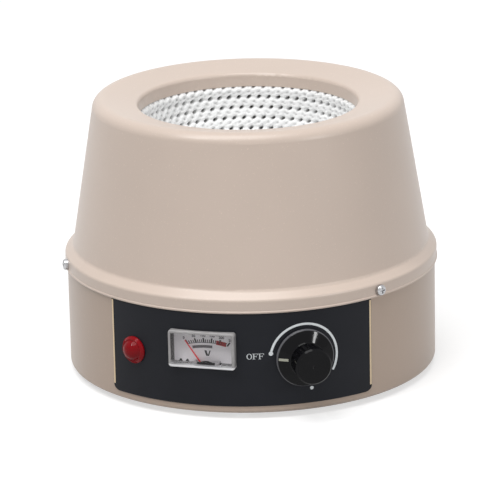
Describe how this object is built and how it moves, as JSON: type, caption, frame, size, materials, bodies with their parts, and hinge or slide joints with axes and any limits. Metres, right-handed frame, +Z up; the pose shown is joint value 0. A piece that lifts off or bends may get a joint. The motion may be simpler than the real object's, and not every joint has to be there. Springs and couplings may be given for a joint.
{
  "type": "heating mantle",
  "caption": "Laboratory heating mantle: a woven heating bag for a round-bottomed flask in a spun steel housing, with a dial voltmeter, lamp and control knob.",
  "frame": {"origin": "on the axis of the well, in the plane of the feet's undersides", "axes": "+Z up the well's axis, -Y towards the middle of the control panel, +X to the right of it"},
  "size_m": [0.1284, 0.138, 0.0948],
  "materials": {
    "body_paint": "satin",
    "zinc_steel": "satin",
    "panel_film": "matte",
    "black_plastic": "gloss",
    "phenolic": "matte",
    "glass_fibre": "matte",
    "element_cord": "matte",
    "mineral_wool": "matte",
    "pot_aluminium": "satin",
    "steatite": "matte",
    "lamp_red": "gloss",
    "clear_plastic": "gloss",
    "clear_glass": "gloss",
    "dial_face": "matte",
    "needle_red": "satin",
    "pointer_white": "matte",
    "copper_wire": "satin",
    "magnet_iron": "matte",
    "board_resin": "satin",
    "film_case": "gloss",
    "terminal_nylon": "satin",
    "foot_rubber": "matte"
  },
  "bodies": {
    "housing": {"upper_housing": "body_paint", "base_drum": "body_paint", "bottom_plate": "zinc_steel", "partition_plate": "zinc_steel", "rubber_feet": "foot_rubber", "foot_screws": "zinc_steel", "base_screws": "zinc_steel", "flange_screws": "zinc_steel", "control_panel": "panel_film", "heating_bag": "glass_fibre", "heating_element": "element_cord", "insulation": "mineral_wool", "inner_pot": "pot_aluminium", "lead_bushings": "steatite", "lamp_lens": "lamp_red", "lamp_body": "black_plastic", "lamp_nut": "zinc_steel", "neon_bulb": "clear_glass", "meter_cover": "clear_plastic", "meter_case": "black_plastic", "meter_dial": "dial_face", "meter_boss": "black_plastic", "meter_magnet": "magnet_iron", "pot_body": "phenolic", "pot_bushing": "zinc_steel", "pot_washer": "zinc_steel", "pot_nut": "zinc_steel", "power_switch": "black_plastic", "circuit_board": "board_resin", "board_standoffs": "zinc_steel", "board_screws": "zinc_steel", "triac": "black_plastic", "heat_sink": "pot_aluminium", "capacitor": "film_case", "fuse_clips": "zinc_steel", "fuse": "clear_glass", "terminal_block": "terminal_nylon", "cable_gland": "foot_rubber", "gland_nut": "black_plastic"},
    "knob": {"knob": "black_plastic", "knob_pointer": "pointer_white", "knob_screw": "zinc_steel", "pot_shaft": "zinc_steel", "pot_wiper": "phenolic"},
    "needle": {"meter_needle": "needle_red", "meter_coil": "copper_wire"}
  },
  "joints": [
    {"name": "knob_turn", "type": "hinge", "parent": "housing", "child": "knob", "pos_m": [0.02179, -0.05986, 0.0208], "axis": [-0.342, 0.9397, 0], "range_deg": [0, 252.6]},
    {"name": "needle_swing", "type": "hinge", "parent": "housing", "child": "needle", "pos_m": [-0.01076, -0.0628, 0.0156], "axis": [0.1874, 0.9823, 0], "range_deg": [0, 70], "stiffness_Nm_per_rad": 0.0001}
  ]
}
